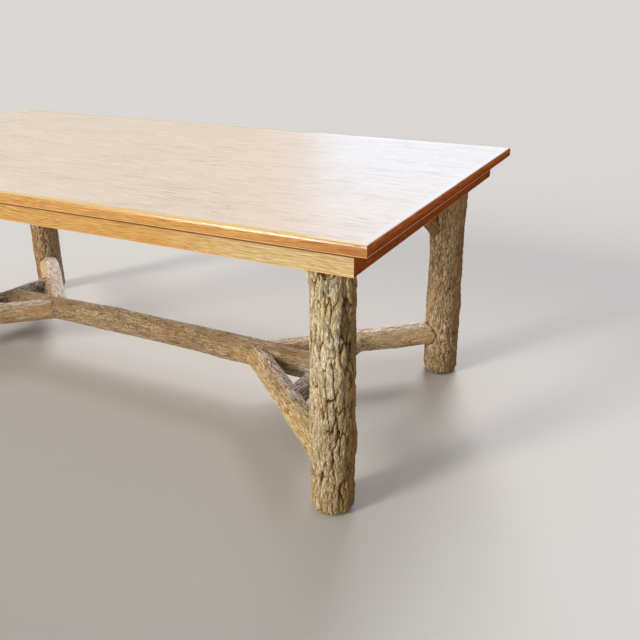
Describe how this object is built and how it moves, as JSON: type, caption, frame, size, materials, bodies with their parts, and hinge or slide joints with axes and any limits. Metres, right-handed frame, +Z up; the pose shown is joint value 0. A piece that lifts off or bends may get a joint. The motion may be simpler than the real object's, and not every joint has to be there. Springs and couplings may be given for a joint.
{
  "type": "dining table",
  "caption": "Rustic rectangular dining table: framed oak-veneered top on bark-on log legs joined by a low log stretcher with diagonal braces.",
  "frame": {"origin": "on the floor under the middle of the top", "axes": "+X along the length to the right end, +Y across to the back, +Z up"},
  "size_m": [2.134, 1.15, 0.762],
  "materials": {
    "oak_veneer": "satin varnish over flat-cut oak veneer",
    "oak_solid": "satin varnish over solid oak",
    "plain_timber": "planed, unfinished",
    "furrowed_bark": "deeply furrowed bark, clear matt lacquer",
    "smooth_bark": "young, finely cracked bark, clear matt lacquer",
    "zinc_steel": "zinc plated"
  },
  "bodies": {
    "root": {"top_panel": "oak_veneer", "edge_front": "oak_solid", "edge_back": "oak_solid", "edge_left": "oak_solid", "edge_right": "oak_solid", "apron_front": "oak_solid", "apron_back": "oak_solid", "apron_left": "oak_solid", "apron_right": "oak_solid", "batten_left": "plain_timber", "batten_middle": "plain_timber", "batten_right": "plain_timber", "cleats_front": "plain_timber", "cleats_back": "plain_timber", "corner_block_front_left": "plain_timber", "corner_block_front_right": "plain_timber", "corner_block_back_left": "plain_timber", "corner_block_back_right": "plain_timber", "leg_front_left": "furrowed_bark", "leg_front_right": "furrowed_bark", "leg_back_left": "furrowed_bark", "leg_back_right": "furrowed_bark", "stretcher": "smooth_bark", "brace_front_left": "smooth_bark", "brace_front_right": "smooth_bark", "brace_back_left": "smooth_bark", "brace_back_right": "smooth_bark", "tie_left": "smooth_bark", "tie_right": "smooth_bark", "leg_lag_screws": "zinc_steel", "leg_lag_washers": "zinc_steel", "batten_screws": "zinc_steel", "cleat_screws_up": "zinc_steel", "cleat_screws_out": "zinc_steel", "toe_screws": "zinc_steel"}
  },
  "joints": []
}
